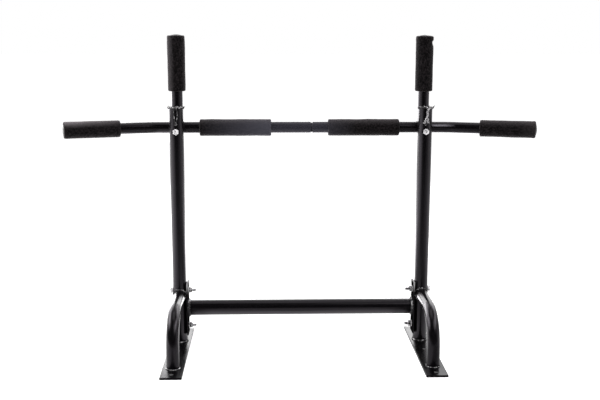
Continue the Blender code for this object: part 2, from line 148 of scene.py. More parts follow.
class Graph:
    """A node tree under construction."""

    def __init__(self, tree):
        self.tree = tree

    def add(self, kind, sockets=None, output=0, **settings):
        """Adds a node, sets it up, feeds its sockets, and returns one of its outputs."""
        node = self.tree.nodes.new(kind)
        for name, value in settings.items():
            setattr(node, name, value)
        self.feed(node, sockets or {})
        return Wire(self, node.outputs[output])

    def feed(self, node, sockets):
        """Sets a node's sockets by name or number, or links them to one wire or a list of wires."""
        for name, value in sockets.items():
            wires = [value] if isinstance(value, Wire) else value
            if isinstance(wires, list):
                for wire in wires:
                    self.tree.links.new(wire.socket, node.inputs[name])
            else:
                node.inputs[name].default_value = value

    def maths(self, operation, first, second=0.0):
        """A Math node on numbers."""
        return self.add("ShaderNodeMath", {0: first, 1: second}, operation=operation)

    def mapped(self, value, start, end, low=0.0, high=1.0):
        """A value mapped from one range to another, and held at its ends."""
        return self.add("ShaderNodeMapRange", {"Value": value, "From Min": start, "From Max": end,
                                               "To Min": low, "To Max": high})

    def axis(self, vector, name):
        """One of a vector's three numbers."""
        return self.add("ShaderNodeSeparateXYZ", {0: vector}, name)

    def fading(self, vector, name, middle, near, far):
        """1 near a middle position along an axis, fading to 0 farther away."""
        apart = self.maths("ABSOLUTE", self.axis(vector, name) - middle)
        return self.mapped(apart, near, far, 1.0, 0.0)

    def noise(self, place, scale, detail=2.0, roughness=0.5):
        """Smooth noise between 0 and 1, with its scale in bumps per metre."""
        return self.add("ShaderNodeTexNoise", {"Vector": place, "Scale": scale, "Detail": detail,
                                               "Roughness": roughness})

    def tint(self, amount, first, second):
        """A colour between two, by an amount that varies."""
        first, second = [tone if isinstance(tone, Wire) else (*tone, 1) for tone in (first, second)]
        return self.add("ShaderNodeMix", {0: amount, 6: first, 7: second}, 2, data_type="RGBA")

    def outward(self):
        """The direction that the surface faces, in the object's frame."""
        return self.add("ShaderNodeTexCoord", output="Normal")

    def bump(self, depth, height):
        """A bump of a depth in metres, for a shader's Normal."""
        return self.add("ShaderNodeBump", {"Strength": 1.0, "Distance": depth, "Height": height})


def shape_tree(name, inputs):
    """A Geometry Nodes tree with named inputs, and a Wire for each of them."""
    tree = bpy.data.node_groups.new(name, "GeometryNodeTree")
    for label, kind in inputs.items():
        tree.interface.new_socket(label, in_out="INPUT", socket_type="NodeSocket" + kind)
    tree.interface.new_socket("Geometry", in_out="OUTPUT", socket_type="NodeSocketGeometry")
    source = tree.nodes.new("NodeGroupInput")
    graph = Graph(tree)
    return graph, {label: Wire(graph, source.outputs[label]) for label in inputs}


def swept(graph, curve, sides, radius, caps=True):
    """Sweeps a circle along a curve."""
    section = graph.add("GeometryNodeCurvePrimitiveCircle", {"Resolution": sides, "Radius": radius})
    return graph.add("GeometryNodeCurveToMesh", {"Curve": curve, "Profile Curve": section, "Fill Caps": caps})


def close_tree(graph, geometry, material):
    """Ends a tree in Realize Instances and Set Material."""
    real = graph.add("GeometryNodeRealizeInstances", {"Geometry": geometry})
    dressed = graph.add("GeometryNodeSetMaterial", {"Geometry": real, "Material": material})
    graph.feed(graph.tree.nodes.new("NodeGroupOutput"), {"Geometry": dressed})
    return graph.tree


# %% [markdown]
# Pieces are built as meshes at their real place, with the object itself left at the origin. A line of
# points can carry a Geometry Nodes tree, and what the tree makes is kept as a plain mesh. Turned shapes
# are loops of points joined by bands of faces.

# %% Mesh helpers
def linked(name, mesh):
    """An object for a mesh, in the scene."""
    obj = bpy.data.objects.new(name, mesh)
    scene.collection.objects.link(obj)
    return obj


def built(name, body, *materials, place=Matrix()):
    """Turns a bmesh into an object with its materials, moved to its place."""
    mesh = bpy.data.meshes.new(name)
    body.to_mesh(mesh)
    body.free()
    mesh.transform(place)
    for material in materials:
        mesh.materials.append(material)
    return linked(name, mesh)


def spokes(count):
    """The cosine and sine of even steps round a circle."""
    angles = [FULL_TURN * i / count for i in range(count)]
    return [(math.cos(angle), math.sin(angle)) for angle in angles]


def band(body, first, second, up=True):
    """Joins two loops of points with a band of faces."""
    for i in range(len(first)):
        j = (i + 1) % len(first)
        quad = (first[i], first[j], second[j], second[i])
        body.faces.new(quad if up else quad[::-1])


def plain_mesh(obj):
    """Turns an object's evaluated result into a plain mesh object, and removes the original."""
    name = obj.name
    mesh = bpy.data.meshes.new_from_object(obj.evaluated_get(bpy.context.evaluated_depsgraph_get()))
    mesh.name = name
    bpy.data.objects.remove(obj)
    return linked(name, mesh)


def line_mesh(name, points, closed=False):
    """A mesh whose edges follow a line of points."""
    edges = [(i, i + 1) for i in range(len(points) - 1)]
    if closed:
        edges.append((len(points) - 1, 0))
    mesh = bpy.data.meshes.new(name + "_line")
    mesh.from_pydata([tuple(point) for point in points], edges, [])
    return mesh


def grown(name, tree, values, mesh=None):
    """Runs a Geometry Nodes tree with its named inputs and keeps the plain mesh."""
    carrier = linked(name, mesh or bpy.data.meshes.new(name))
    modifier = carrier.modifiers.new("Shape", "NODES")
    modifier.node_group = tree
    for item in tree.interface.items_tree:
        if item.in_out == "INPUT" and item.name in values:
            modifier[item.identifier] = values[item.name]
    return plain_mesh(carrier)


# %% [markdown]
# Most of the steel is powder-coated black. The coat is a satin plastic skin baked on the metal: nearly
# black inside, with a soft reflection that follows a very fine orange-peel texture. The texture is a
# small bump, and a slow noise varies the roughness, because a sprayed coat is never even. The middle of
# the bar is painted greyer, a painted reflection of the light in front, with a short painted highlight
# beside the right arm. Flat bar takes the coat duller, and thin on its sawn edges.

# %% Powder coats
COAT_BLACK = (0.0012, 0.0010, 0.0013)
CLOUD_LIFT = 1.7
PEEL_SCALE = 420.0
HIGHLIGHT_TILT = 0.42


def surface(name):
    """A new material's graph, its Principled shader, and Object coordinates for its patterns."""
    material = bpy.data.materials.new(name)
    material.use_nodes = True
    graph = Graph(material.node_tree)
    place = graph.add("ShaderNodeTexCoord", output="Object")
    return material, graph, material.node_tree.nodes["Principled BSDF"], place


def coat_material(name, colour, roughness, peel_depth, shine=0.5, painted_light=None, painted_highlight=None):
    """A baked coat with orange peel, and where asked a stretch painted lighter as painted light, and a
    painted highlight along the tube.
    """
    material, graph, shader, place = surface(name)
    cloud = graph.noise(place, 24.0, 3.0)
    peel = graph.noise(place, PEEL_SCALE)
    grain = graph.noise(place, 4 * PEEL_SCALE, 1.0)
    tone = graph.tint(cloud, colour, [CLOUD_LIFT * channel for channel in colour])
    # Painted light: a lighter tone painted over a stretch along one axis.
    if painted_light:
        painted_tone, *stretch = painted_light
        tone = graph.tint(graph.fading(place, *stretch), tone, painted_tone)
    # Painted highlight: a pale tone on the side that tilts up, over a stretch along X.
    if painted_highlight:
        highlight_tone, *stretch = painted_highlight
        lit = graph.fading(graph.outward(), "Z", HIGHLIGHT_TILT, 0.06, 0.26) * graph.fading(place, "X", *stretch)
        tone = graph.tint(lit * (0.6 + 0.8 * (peel - 0.5)), tone, highlight_tone)
    graph.feed(shader, {
        "Base Color": tone, "Roughness": roughness - 0.05 + 0.10 * cloud,
        "Normal": graph.bump(peel_depth, peel + 0.3 * grain), "Specular IOR Level": shine,
        "Specular Tint": (0.97, 0.90, 1.0, 1)})
    return material


POWDER_COAT = coat_material("satin_powder_coat", COAT_BLACK, 0.23, 0.000016)
# The bar's middle is painted greyer as a painted reflection of the front light, and a painted highlight runs
# beside the right arm.
BAR_COAT = coat_material("handled_bar_coat", COAT_BLACK, 0.23, 0.000016,
                         painted_light=((0.020, 0.020, 0.027), "X", 0.0, 0.05, 0.22),
                         painted_highlight=((0.22, 0.21, 0.24), 0.340, 0.012, 0.038))
PLATE_COAT = coat_material("satin_coat_on_plate", COAT_BLACK, 0.24, 0.00003, 0.25)
DULL_COAT = coat_material("dull_coat_on_flat_bar", (0.0030, 0.0028, 0.0032), 0.80, 0.00004, 0.0)
# The sawn edge is painted light grey near the flange's top: a painted highlight.
EDGE_COAT = coat_material("sawn_edge_coat_with_painted_highlight", (0.006, 0.0055, 0.006), 0.70, 0.00006, 0.1,
                          painted_light=((0.34, 0.33, 0.34), "Z", FLANGE_TOP, 0.006, 0.026))
# Light grey screw hole walls: bare drilled steel, and a painted glint.
HOLE_STEEL = coat_material("bare_steel_in_screw_hole", (0.10, 0.10, 0.10), 0.45, 0.00006)
print("coats:", POWDER_COAT.name, BAR_COAT.name, PLATE_COAT.name, DULL_COAT.name, EDGE_COAT.name)

# %% [markdown]
# Molten metal leaves a lumpy skin of its own. A weld was sprayed black with the rest, and the coat is
# thin on it. Its crests that face up are painted bright metal, a painted highlight for the lamps above. The
# runs in the right arm's notch are nearly bare.

# %% Weld metal
def weld_material(name, bare):
    """Weld metal under a thin coat: black in the hollows, with a painted highlight of bright metal on crests
    that face up, and bright where bare.
    """
    material, graph, shader, place = surface(name)
    lumps = graph.noise(place, 480.0, 3.0)
    patch = graph.mapped(lumps, 0.42, 0.56)
    touched = graph.mapped(graph.noise(place, 150.0, 1.0), 0.45, 0.58, max(bare, 0.05))
    # Painted highlight: bright metal on the crests that face up; where bare, over most of the bead.
    bare_and_glint = patch * graph.mapped(graph.axis(graph.outward(), "Z"), -0.15, 0.45, bare) * touched
    graph.feed(shader, {
        "Base Color": graph.tint(bare_and_glint, (0.006, 0.005, 0.006), (0.86, 0.84, 0.86)),
        "Metallic": 0.8 * bare_and_glint, "Roughness": 0.50 - 0.20 * bare_and_glint,
        "Normal": graph.bump(0.0002, lumps), "Specular IOR Level": 0.3})
    return material


WELD_COAT = weld_material("rubbed_weld_coat", 0.0)
BARE_WELD = weld_material("bare_weld_metal", 0.8)
print("welds:", WELD_COAT.name, BARE_WELD.name)

# %% [markdown]
# The bolts, nuts and washers are zinc plated: a bright metal with a slightly milky, uneven finish, and
# dark stains. The nuts and threads mirror more than the bolt heads. The end caps are moulded plastic.
# The grips are closed-cell foam rubber: it looks almost flat, with fine pores, and its dusty surface
# catches light at a grazing angle, which a little sheen stands for. Painted light lies on its upper side,
# most at the far left, and on its left flank near the left stem, and the inner grips' middle is painted
# greyer as a painted pool of light from the front.

# %% Zinc, plastic and foam
def zinc_material(name, stain_from, stain_scale, stain_tone, metal):
    """Zinc plate, milky on the flats and stained dark in patches."""
    material, graph, shader, place = surface(name)
    spangle = graph.add("ShaderNodeTexVoronoi", {"Vector": place, "Scale": 700.0})
    haze = graph.noise(place, 160.0, 3.0)
    stain = graph.mapped(graph.noise(place, stain_scale), stain_from, stain_from + 0.10)
    plated = graph.tint(haze, (1.0, 0.97, 0.99), (0.83, 0.82, 0.85))
    graph.feed(shader, {
        "Base Color": graph.tint(stain, plated, (stain_tone, stain_tone, stain_tone)),
        "Metallic": metal, "Normal": graph.bump(0.00004, haze),
        "Roughness": 0.20 + 0.15 * haze + 0.08 * spangle})
    return material


def plastic_material():
    """Moulded black plastic with a fine spark-eroded grain and some dust."""
    material, graph, shader, place = surface("moulded_cap_plastic")
    grain = graph.noise(place, 1500.0)
    dust = graph.mapped(graph.noise(place, 420.0, 3.0), 0.50, 0.68)
    graph.feed(shader, {
        "Base Color": graph.tint(dust, (0.012, 0.011, 0.012), (0.11, 0.10, 0.10)),
        "Normal": graph.bump(0.00005, grain), "Roughness": 0.30 + 0.20 * grain})
    return material


def foam_material():
    """Closed-cell foam rubber with fine pores, with painted light on its upper side, its left flank and the
    inner grips' middle.
    """
    material, graph, shader, place = surface("closed_cell_foam")
    cells = graph.add("ShaderNodeTexVoronoi", {"Vector": place, "Scale": 620.0}, feature="F1")
    fine = graph.noise(place, 2400.0)
    cloud = graph.noise(place, 45.0, 4.0, 0.6)
    speckle = graph.mapped(graph.noise(place, 260.0, 3.0, 0.7), 0.44, 0.66)
    tone = graph.tint(speckle, (0.0009, 0.0007, 0.0008), (0.0150, 0.0122, 0.0132))
    # Painted light: the inner grips' middle is painted greyer, a painted pool of light from the front.
    tone = graph.tint(graph.fading(place, "X", -0.055, 0.0, 0.19), tone, (0.050, 0.049, 0.062))
    tone = graph.tint(graph.fading(place, "X", 0.60, 0.0, 0.08), tone, (0.026, 0.023, 0.024))
    # Painted light: the upper side, most at the far left, and the left flank near the left stem are painted
    # lighter.
    upper = graph.mapped(graph.axis(graph.outward(), "Z"), 0.2, 1.0) ** 2.0
    flank = graph.mapped(graph.axis(graph.outward(), "X"), -0.2, -1.0)
    painted_lit_faces = (upper * (0.22 + 0.78 * graph.fading(place, "X", -0.60, 0.04, 0.18))
             + 0.25 * flank * graph.fading(place, "X", -0.40, 0.10, 0.30))
    graph.feed(shader, {
        "Base Color": graph.tint(painted_lit_faces, tone, (0.20, 0.18, 0.19)), "Roughness": 0.72 + 0.2 * cloud,
        "Normal": graph.bump(0.00022, cells ** 0.5 + 0.35 * fine), "Specular IOR Level": 0.06,
        "Sheen Weight": 0.12, "Sheen Roughness": 0.45, "Sheen Tint": (0.9, 0.82, 0.86, 1)})
    return material


ZINC = zinc_material("bright_zinc_plate", 0.53, 330.0, 0.10, 0.30)
NUT_ZINC = zinc_material("mirror_zinc_plate", 0.48, 280.0, 0.020, 0.95)
CAP_PLASTIC = plastic_material()
FOAM = foam_material()
print("finishes:", ZINC.name, NUT_ZINC.name, CAP_PLASTIC.name, FOAM.name)

# %% [markdown]
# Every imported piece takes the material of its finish, so that nothing is left plain even where a detailed
# piece will stand for it later.

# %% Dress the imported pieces
SLOT_MATERIALS = {"powder_coat": POWDER_COAT, "zinc": ZINC, "foam": FOAM, "cap_plastic": CAP_PLASTIC}
SMOOTH_ANGLE = math.radians(38)

for subpart in frame["record"]["subparts"]:
    packed = frame["nodes"][subpart["node"]]
    packed.data.materials.clear()
    packed.data.materials.append(SLOT_MATERIALS[subpart["material_slot"]])


def stands_for(piece, *nodes, slot="powder_coat"):
    """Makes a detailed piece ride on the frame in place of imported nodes."""
    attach(piece, "root")
    if nodes:
        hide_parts(*nodes)
    piece.data.shade_smooth()
    piece.data.set_sharp_from_angle(angle=SMOOTH_ANGLE)
    print(piece.name, len(piece.data.polygons), "faces")


# %% [markdown]
# All the tubes follow one rule: a round section runs along a line with at most one bend. One Geometry
# Nodes tree makes them all from a line of three points: Fillet Curve rounds the corner, and Curve to Mesh
# draws the skin. The wall comes from a Solidify modifier. Holes and copes are cut with plain cutters.

# %% The tube tree
TUBE_SIDES = 96
HOLE_SIDES = 48
COPE_SIDES = 96
COPE_CLEARANCE = 0.0003
BOLT_HOLE_RADIUS = 0.0045
CUT_LENGTH = 0.07
BEVEL_ANGLE = math.radians(50)


def tube_tree():
    """A round tube along a line with one rounded corner."""
    graph, given = shape_tree("round_tube", {
        "Geometry": "Geometry", "Bend Radius": "Float", "Bend Steps": "Int", "Radius": "Float",
        "Sides": "Int", "Material": "Material"})
    path = graph.add("GeometryNodeMeshToCurve", {"Mesh": given["Geometry"]})
    rounded = graph.add("GeometryNodeFilletCurve", {
        "Curve": path, "Count": given["Bend Steps"], "Radius": given["Bend Radius"],
        "Limit Radius": True}, mode="POLY")
    skin = swept(graph, rounded, given["Sides"], given["Radius"], False)
    smooth = graph.add("GeometryNodeSetShadeSmooth", {"Geometry": skin})
    return close_tree(graph, smooth, given["Material"])


TUBE_TREE = tube_tree()


def steel_tube(name, points, radius, bend_radius=0.0, bend_steps=1, coat=POWDER_COAT):
    """A hollow steel tube from a start to an end, with a corner between them where three points are given."""
    if len(points) == 2:
        points = (points[0], (points[0] + points[1]) / 2, points[1])
    skin = grown(name, TUBE_TREE, {
        "Bend Radius": bend_radius, "Bend Steps": bend_steps, "Radius": radius, "Sides": TUBE_SIDES,
        "Material": coat}, line_mesh(name, points))
    solid = skin.modifiers.new("Wall", "SOLIDIFY")
    solid.thickness = TUBE_WALL
    solid.offset = -1
    solid.use_even_offset = True
    return plain_mesh(skin)


def softened(obj, width, segments=2):
    """Gives the sharp edges a small bevel."""
    bevel = obj.modifiers.new("Soft edges", "BEVEL")
    bevel.width = width
    bevel.segments = segments
    bevel.limit_method = "ANGLE"
    bevel.angle_limit = BEVEL_ANGLE
    return plain_mesh(obj)


def cut(obj, cutter):
    """Takes a cutter out of an object for good."""
    boolean = obj.modifiers.new("Cut", "BOOLEAN")
    boolean.object = cutter
    boolean.solver = "EXACT"
    result = plain_mesh(obj)
    bpy.data.objects.remove(cutter)
    return result


def bored(obj, centre, axis, radius=BOLT_HOLE_RADIUS, sides=HOLE_SIDES):
    """Cuts a cylinder about an axis out of an object, for a hole or a cope."""
    body = bmesh.new()
    turn = axis.to_track_quat("Z", "Y").to_matrix().to_4x4()
    bmesh.ops.create_cone(body, cap_ends=True, segments=sides, radius1=radius, radius2=radius,
                          depth=CUT_LENGTH, matrix=Matrix.Translation(centre) @ turn)
    return cut(obj, built("cutter", body))


# %% [markdown]
# The braces stand on the plates, turn through a quarter circle and end on the fronts of the arms, where
# the maker copes the end, which means sawing it to the arm's round. The cross tube is straight. A brace's
# foot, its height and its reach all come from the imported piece's box.

# %% Braces and cross tube
BRACE_BEND_RADIUS = 0.078
BRACE_BEND_STEPS = 28

for side in SIDES:
    node = f"{side}_brace_tube"
    low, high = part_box(node)
    x = middle_of(node).x
    foot_y = low.y + BRACE_RADIUS
    top_z = high.z - BRACE_RADIUS
    line = (Vector((x, foot_y, low.z)), Vector((x, foot_y, top_z)), Vector((x, ARM_Y, top_z)))
    brace = steel_tube(f"{side}_brace", line, BRACE_RADIUS, BRACE_BEND_RADIUS, BRACE_BEND_STEPS)
    brace = bored(brace, line[2], Z, ARM_RADIUS + COPE_CLEARANCE, COPE_SIDES)
    stands_for(brace, node)

low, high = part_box("cross_tube")
line = (Vector((low.x, ARM_Y, CROSS_Z)), Vector((high.x, ARM_Y, CROSS_Z)))
stands_for(steel_tube("cross_bar", line, CROSS_TUBE_RADIUS), "cross_tube")

# %% [markdown]
# The arms carry everything. Each has holes for the flange bolts and the bar bolt, and a leaf-shaped notch
# at its free end, through which the plug inside is welded. The notch is cut with a leaf made of two arcs,
# so its points stay sharp at any size.

# %% Arms with their notches
NOTCH_WIDTH = 0.0128
NOTCH_OVER_RIM = 0.002
NOTCH_BOTTOM = BAR_Z + 0.0132
NOTCH_LENGTH = ARM_TOP + NOTCH_OVER_RIM - NOTCH_BOTTOM
NOTCH_MIDDLE = NOTCH_BOTTOM + NOTCH_LENGTH / 2
LEAF_STEPS = 14


def leaf_outline(width):
    """Points round a pointed leaf as long as the notch, as (across, along) from its middle."""
    half_length = NOTCH_LENGTH / 2
    half_width = width / 2
    radius = (half_length ** 2 + half_width ** 2) / (2 * half_width)
    half_angle = math.asin(half_length / radius)
    points = []
    for side in (1, -1):
        for step in range(LEAF_STEPS):
            angle = side * half_angle * (1 - 2 * step / LEAF_STEPS)
            points.append((side * (radius * math.cos(angle) - radius + half_width),
                           radius * math.sin(angle)))
    return points


def leaf_cutter(x):
    """A leaf-shaped punch through the front of an arm."""
    body = bmesh.new()
    outline = [body.verts.new((x + across, ARM_Y - 2 * ARM_RADIUS, NOTCH_MIDDLE + along))
               for across, along in leaf_outline(NOTCH_WIDTH)]
    front = body.faces.new(outline)
    pulled = bmesh.ops.extrude_face_region(body, geom=[front])["geom"]
    moved = [item for item in pulled if isinstance(item, bmesh.types.BMVert)]
    bmesh.ops.translate(body, verts=moved, vec=(0, 2 * ARM_RADIUS, 0))
    bmesh.ops.recalc_face_normals(body, faces=body.faces)
    return built("leaf", body)


for side in SIDES:
    node = f"{side}_arm_tube"
    low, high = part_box(node)
    x = ARM_X[side]
    tube = steel_tube(f"{side}_arm", (Vector((x, ARM_Y, low.z)), Vector((x, ARM_Y, high.z))), ARM_RADIUS)
    tube = cut(tube, leaf_cutter(x))
    for level in ("upper", "lower"):
        tube = bored(tube, (x, ARM_Y, middle_of(f"{side}_{level}_flange_bolt").z), X)
    stands_for(bored(tube, (x, ARM_Y, BAR_BOLT_Z), Y), node)

# %% [markdown]
# The pull-up bar is two halves that meet at a seam right of the middle. Each half is straight behind its
# arm and then bends towards the viewer. The halves' ends are softened, and a ring-shaped cutter takes a
# small round groove out of both at the seam, with the sleeve behind it, coated dark as painted shade in
# the seam. The stems stand on the bar behind the arms, coped to its round.

# %% Bar halves, grip stems and joint sleeve
BAR_BEND_ANGLE = math.radians(17.3)
BAR_BEND_RADIUS = 0.100
BAR_BEND_STEPS = 16
BAR_BEND_BEYOND_ARM = 0.058
SEAM_BEVEL = 0.0009
GROOVE_RADIUS = 0.0026
GROOVE_ABOVE_BAR = 0.0010
bar_ends = {}


def groove_cutter():
    """A ring round the bar that cuts a round groove at the seam."""
    body = bmesh.new()
    bmesh.ops.create_circle(body, segments=20, radius=GROOVE_RADIUS,
                            matrix=Matrix.Translation((0, BAR_RADIUS + GROOVE_ABOVE_BAR, 0)))
    bmesh.ops.spin(body, geom=body.verts[:] + body.edges[:], cent=(0, 0, 0), axis=X,
                   angle=FULL_TURN, steps=72, use_merge=True)
    bmesh.ops.recalc_face_normals(body, faces=body.faces)
    return built("groove", body, place=Matrix.Translation(middle_of("bar_joint_sleeve")))


for side, sign in SIDES.items():
    node = f"{side}_bar_half"
    low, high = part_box(node)
    seam_x, tip_x = (high.x, low.x) if sign < 0 else (low.x, high.x)
    arm_x = ARM_X[side]
    corner = on_bar(arm_x + sign * BAR_BEND_BEYOND_ARM)
    direction = Vector((sign * math.cos(BAR_BEND_ANGLE), -math.sin(BAR_BEND_ANGLE), 0))
    reach = (abs(tip_x - corner.x) - BAR_RADIUS * math.sin(BAR_BEND_ANGLE)) / math.cos(BAR_BEND_ANGLE)
    end = corner + direction * reach
    bar_ends[side] = (direction, end)
    half = steel_tube(f"{side}_bar", (on_bar(seam_x), corner, end), BAR_RADIUS, BAR_BEND_RADIUS,
                      BAR_BEND_STEPS, BAR_COAT)
    half = cut(softened(half, SEAM_BEVEL), groove_cutter())
    stands_for(bored(half, (arm_x, BAR_Y, BAR_BOLT_Z), Y), node)
    node = f"{side}_grip_stem"
    foot = on_bar(arm_x)
    stem = steel_tube(f"{side}_stem", (foot, Vector((arm_x, BAR_Y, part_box(node)[1].z))), BAR_RADIUS)
    stem = bored(stem, foot, X, BAR_RADIUS + COPE_CLEARANCE, COPE_SIDES)
    stands_for(stem, node)

# The sleeve is zinc but takes the dark flat-bar coat: painted shade for the dark line in the seam.
low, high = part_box("bar_joint_sleeve")
sleeve = steel_tube("joint_sleeve", (on_bar(low.x), on_bar(high.x)), (high.z - low.z) / 2, coat=DULL_COAT)
stands_for(sleeve, "bar_joint_sleeve", slot="zinc")

# %% [markdown]
# The wall plates are cut from flat bar. Rolled flat bar has slightly round edges, which catch a thin line
# of light, so the plates and the flanges are bevelled boxes with drilled holes. The screw holes' walls are
# painted light grey: bare drilled steel, with a painted glint. The flanges' sawn edges have a coat of
# their own, painted light near the top as a highlight.

# %% Plates and flanges
SCREW_HOLE_RADIUS = 0.005
SCREW_HOLE_TO_END = 0.020
PLATE_BEVEL = 0.0009
FLANGE_BEVEL = 0.0008


def flat_piece(name, node, bevel, *coats):
    """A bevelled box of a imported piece's size, with coats for its faces, its narrow sides and its holes."""
    size = size_of(node)
    body = bmesh.new()
    bmesh.ops.create_cube(body, size=1,
                          matrix=Matrix.Translation(middle_of(node)) @ Matrix.Diagonal((*size, 1)))
    piece = built(name, body, *coats)
    thin_axis = list(size).index(min(size))
    for face in piece.data.polygons:
        face.material_index = 0 if abs(face.normal[thin_axis]) > 0.5 else 1
    return softened(piece, bevel, 3)


for side, sign in SIDES.items():
    node = f"{side}_wall_plate"
    low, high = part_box(node)
    middle = middle_of(node)
    plate = flat_piece(f"{side}_plate", node, PLATE_BEVEL, PLATE_COAT, PLATE_COAT, HOLE_STEEL)
    for y in (low.y + SCREW_HOLE_TO_END, middle.y, high.y - SCREW_HOLE_TO_END):
        plate = bored(plate, (middle.x, y, 0), Z, SCREW_HOLE_RADIUS)
    # The screw holes' walls take the light grey: bare steel with a painted glint.
    for face in plate.data.polygons:
        if abs(face.normal.z) < 0.5 and abs(face.center.x - middle.x) < SCREW_HOLE_RADIUS:
            if abs(face.center.y) < high.y - SCREW_HOLE_TO_END / 2:
                face.material_index = 2
    stands_for(plate, node)
    node = f"{side}_cross_flange"
    flange = flat_piece(f"{side}_flange", node, FLANGE_BEVEL, DULL_COAT, EDGE_COAT)
    for level in ("upper", "lower"):
        z = middle_of(f"{side}_{level}_flange_bolt").z
        flange = bored(flange, (middle_of(node).x, ARM_Y, z), X)
    for face in flange.data.polygons:
        if face.normal.x * sign > 0.5:
            face.material_index = 1
    stands_for(flange, node)

# %% [markdown]
# A weld is a string of frozen puddles. Its bead follows the joint, and each puddle overlaps the last, so
# the surface ripples and its width wanders. One Geometry Nodes tree draws every bead: the joint line is
# resampled, its radius ripples along its length, noise moves the line about, and a small circle sweeps
# along it. Small drops of spatter lie beside it. The seed makes each bead different, and the same on
# every run.

# %% The weld tree
RIPPLE = 0.0022
BEAD_STEP = 0.0006


def weld_tree():
    """A rippled bead along a closed or open line."""
    graph, given = shape_tree("weld_bead", {
        "Geometry": "Geometry", "Bead Radius": "Float", "Ripple": "Float", "Step": "Float",
        "Wander": "Float", "Spatter": "Int", "Seed": "Float", "Material": "Material"})
    bead = given["Bead Radius"]
    line = graph.add("GeometryNodeMeshToCurve", {"Mesh": given["Geometry"]})
    even = graph.add("GeometryNodeResampleCurve", {"Curve": line, "Length": given["Step"]}, mode="LENGTH")
    place = graph.add("GeometryNodeInputPosition")

    def lumps(seed, scale, detail, output):
        return graph.add("ShaderNodeTexNoise", {"Vector": place, "W": seed, "Scale": scale, "Detail": detail},
                         output, noise_dimensions="4D")

    def scaled(vector, amount):
        return graph.add("ShaderNodeVectorMath", {0: vector, "Scale": amount}, operation="SCALE")

    centred = graph.add("ShaderNodeVectorMath", {0: lumps(given["Seed"], 170.0, 2.0, 1), 1: (0.5, 0.5, 0.5)},
                        operation="SUBTRACT")
    push = scaled(centred, given["Wander"])
    moved = graph.add("GeometryNodeSetPosition", {"Geometry": even, "Offset": push})
    travelled = graph.add("GeometryNodeSplineParameter", output="Length")
    crest = graph.maths("ABSOLUTE", graph.maths("SINE", travelled * 3.14159 / given["Ripple"]))
    swell = 0.45 + 0.35 * crest + 0.75 * lumps(given["Seed"] + 7.0, 320.0, 1.0, 0)
    sized = graph.add("GeometryNodeSetCurveRadius", {"Curve": moved, "Radius": swell})
    skin = swept(graph, sized, 10, bead)
    drops = graph.add("GeometryNodeCurveToPoints", {"Curve": moved, "Count": given["Spatter"]}, mode="COUNT")
    thrown = graph.add("FunctionNodeRandomValue", {0: (-1.0, -1.0, -0.4), 1: (1.0, 1.0, 1.0), "Seed": 3},
                       data_type="FLOAT_VECTOR")
    landed = graph.add("GeometryNodeSetPosition", {"Geometry": drops, "Offset": scaled(thrown, 1.9 * bead)})
    drop = graph.add("GeometryNodeMeshIcoSphere", {"Radius": bead, "Subdivisions": 2})
    bulk = graph.add("FunctionNodeRandomValue", {2: 0.2, 3: 0.7, "Seed": 9}, 1, data_type="FLOAT")
    spatter = graph.add("GeometryNodeInstanceOnPoints", {"Points": landed, "Instance": drop, "Scale": bulk})
    both = graph.add("GeometryNodeJoinGeometry", {"Geometry": [skin, spatter]})
    smooth = graph.add("GeometryNodeSetShadeSmooth", {"Geometry": both})
    return close_tree(graph, smooth, given["Material"])


WELD_TREE = weld_tree()


def weld(name, bead, points, seed, closed=True, coat=WELD_COAT):
    """A weld bead of a radius, a wander and a count of drops, along a line of points."""
    radius, wander, drops = bead
    values = {"Bead Radius": radius, "Ripple": RIPPLE, "Step": BEAD_STEP, "Wander": wander,
              "Spatter": drops, "Seed": float(seed), "Material": coat}
    stands_for(grown(name, WELD_TREE, values, line_mesh(name, points, closed)))


# %% [markdown]
# These are the welds themselves: round the feet of the arms and braces, round each brace's coped end,
# round the cross tube at its flanges, round the stems on the bar, and the ragged collar at the free ends
# of the arms, with its ears. The left notch has a bead round it, and the right one has a forked run.

# %% Lay the welds
LINE_POINTS = 72
SEAT = 0.0008
COPE_SEAT = 0.0006
CROSS_SEAT = 0.0010
CROSS_WELD_INSET = 0.0016
RIM_INSET = 0.0006
RIM_DROP = 0.0004
EAR_DROP = 0.0030
EAR_SEAT = 0.0002
NOTCH_WELD_INSET = 0.0022
DRIP_SWAY = 0.0035
DRIP_STEP = 0.0008
RUN_PROUD = 0.0004
RUN_SEED = 60
NOTCH_RUN = ((0.0092, 0.0005), (0.0042, -0.0045), (0.0026, -0.0110), (0.0036, -0.0185), (0.0010, -0.0265),
             (-0.0034, -0.0345), (-0.0040, -0.0385))
NOTCH_FORK = ((0.0010, -0.0265), (0.0042, -0.0310), (0.0055, -0.0365))
RIM_EARS = {"left": ((-84, 0.0022, 0.0052), (88, 0.0020, 0.0050)),
            "right": ((-72, 0.0012, 0.0040), (48, 0.0015, 0.0012), (92, 0.0040, 0.0062))}


def ring(centre, radius, first, second):
    """Points round a circle in the plane of two directions."""
    return [Vector(centre) + radius * (first * cosine + second * sine)
            for cosine, sine in spokes(LINE_POINTS)]


def saddle(centre, radius, host_radius, along, across, outwards):
    """Points where a tube's side meets a round host, from the host's axis outwards."""
    points = []
    for cosine, sine in spokes(LINE_POINTS):
        sideways = radius * cosine
        depth = math.sqrt(max(host_radius ** 2 - sideways ** 2, 0.0))
        points.append(Vector(centre) + across * sideways + along * (radius * sine) + outwards * depth)
    return points


def on_arm(arm_x, across, height, proud=0.0):
    """A point on the front of an arm."""
    return Vector((arm_x + across, ARM_Y - math.sqrt(ARM_RADIUS ** 2 - across ** 2) - proud, height))


